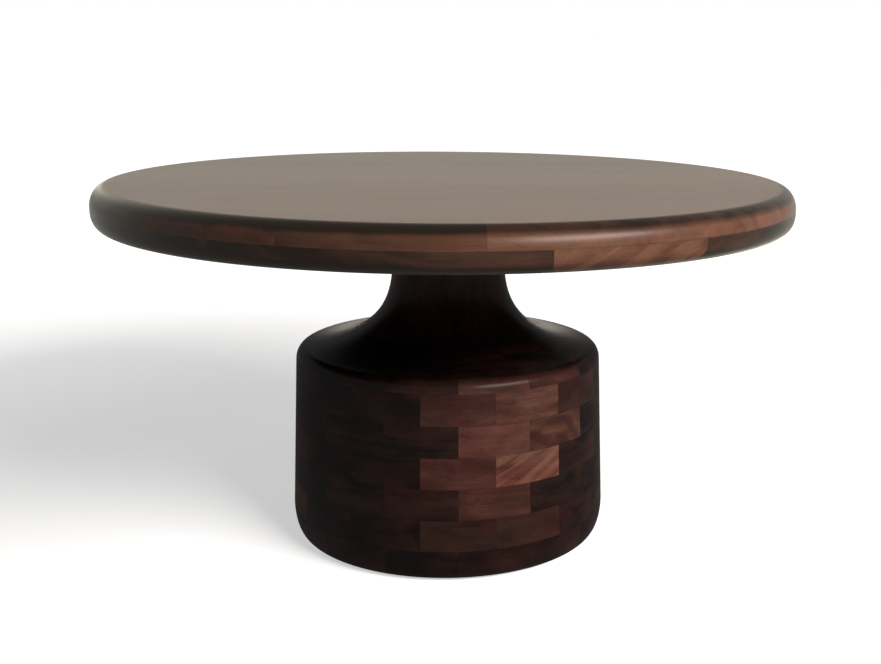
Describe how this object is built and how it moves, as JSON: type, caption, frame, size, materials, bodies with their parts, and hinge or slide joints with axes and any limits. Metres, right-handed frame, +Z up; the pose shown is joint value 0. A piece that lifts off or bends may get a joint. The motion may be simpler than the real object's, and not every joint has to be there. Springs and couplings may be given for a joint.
{
  "type": "african drum table",
  "caption": "Low round pedestal table of dark stained wood: a thick board top on a turned neck that flares into a drum laid up from blocks, with screw levellers under it.",
  "frame": {"origin": "on the floor under the middle of the table", "axes": "+Z up to the top; the boards of the top run along X; the front faces -Y"},
  "size_m": [0.813, 0.8129, 0.435],
  "materials": {
    "top_wood": "dark brown stain, satin lacquer",
    "drum_wood": "dark red-brown stain, satin lacquer, figured blocks",
    "neck_wood": "near-black stain, satin lacquer",
    "zinc_plated_steel": "zinc plated",
    "black_plastic": "moulded, matte"
  },
  "bodies": {
    "table": {"top_boards_1": "top_wood", "top_boards_2": "top_wood", "top_boards_3": "top_wood", "top_boards_4": "top_wood", "top_boards_5": "top_wood", "top_boards_6": "top_wood", "core_boards_1": "top_wood", "core_boards_2": "top_wood", "core_boards_3": "top_wood", "core_boards_4": "top_wood", "core_boards_5": "top_wood", "core_boards_6": "top_wood", "drum_course_1": "drum_wood", "drum_course_2": "drum_wood", "drum_course_3": "drum_wood", "drum_course_4": "drum_wood", "drum_course_5": "drum_wood", "drum_course_6": "drum_wood", "shoulder_course": "drum_wood", "neck_posts": "neck_wood", "tie_rod": "zinc_plated_steel", "tie_rod_nut": "zinc_plated_steel", "nut_plate": "zinc_plated_steel", "pressure_plate": "zinc_plated_steel", "leveller_inserts": "zinc_plated_steel"},
    "pad_front_right": {"leveller_pad_front_right": "black_plastic"},
    "stud_front_right": {"leveller_stud_front_right": "zinc_plated_steel"},
    "pad_rear_right": {"leveller_pad_rear_right": "black_plastic"},
    "stud_rear_right": {"leveller_stud_rear_right": "zinc_plated_steel"},
    "pad_rear_left": {"leveller_pad_rear_left": "black_plastic"},
    "stud_rear_left": {"leveller_stud_rear_left": "zinc_plated_steel"},
    "pad_front_left": {"leveller_pad_front_left": "black_plastic"},
    "stud_front_left": {"leveller_stud_front_left": "zinc_plated_steel"}
  },
  "joints": [
    {"name": "pad_slide_front_right", "type": "slide", "parent": "table", "child": "pad_front_right", "axis": [0, 0, -1], "range_m": [-0.003, 0.01]},
    {"name": "stud_turn_front_right", "type": "hinge", "parent": "pad_front_right", "child": "stud_front_right", "pos_m": [0.11239, -0.11239, 0.007], "axis": [0, 0, -1], "range_deg": [-866, 2882]},
    {"name": "pad_slide_rear_right", "type": "slide", "parent": "table", "child": "pad_rear_right", "axis": [0, 0, -1], "range_m": [-0.003, 0.01]},
    {"name": "stud_turn_rear_right", "type": "hinge", "parent": "pad_rear_right", "child": "stud_rear_right", "pos_m": [0.11239, 0.11239, 0.007], "axis": [0, 0, -1], "range_deg": [-866, 2882]},
    {"name": "pad_slide_rear_left", "type": "slide", "parent": "table", "child": "pad_rear_left", "axis": [0, 0, -1], "range_m": [-0.003, 0.01]},
    {"name": "stud_turn_rear_left", "type": "hinge", "parent": "pad_rear_left", "child": "stud_rear_left", "pos_m": [-0.11239, 0.11239, 0.007], "axis": [0, 0, -1], "range_deg": [-866, 2882]},
    {"name": "pad_slide_front_left", "type": "slide", "parent": "table", "child": "pad_front_left", "axis": [0, 0, -1], "range_m": [-0.003, 0.01]},
    {"name": "stud_turn_front_left", "type": "hinge", "parent": "pad_front_left", "child": "stud_front_left", "pos_m": [-0.11239, -0.11239, 0.007], "axis": [0, 0, -1], "range_deg": [-866, 2882]}
  ],
  "couplings": [
    {"joint": "stud_turn_front_right", "follows": "pad_slide_front_right", "rad_per_m": 5026.5},
    {"joint": "stud_turn_rear_right", "follows": "pad_slide_rear_right", "rad_per_m": 5026.5},
    {"joint": "stud_turn_rear_left", "follows": "pad_slide_rear_left", "rad_per_m": 5026.5},
    {"joint": "stud_turn_front_left", "follows": "pad_slide_front_left", "rad_per_m": 5026.5}
  ]
}
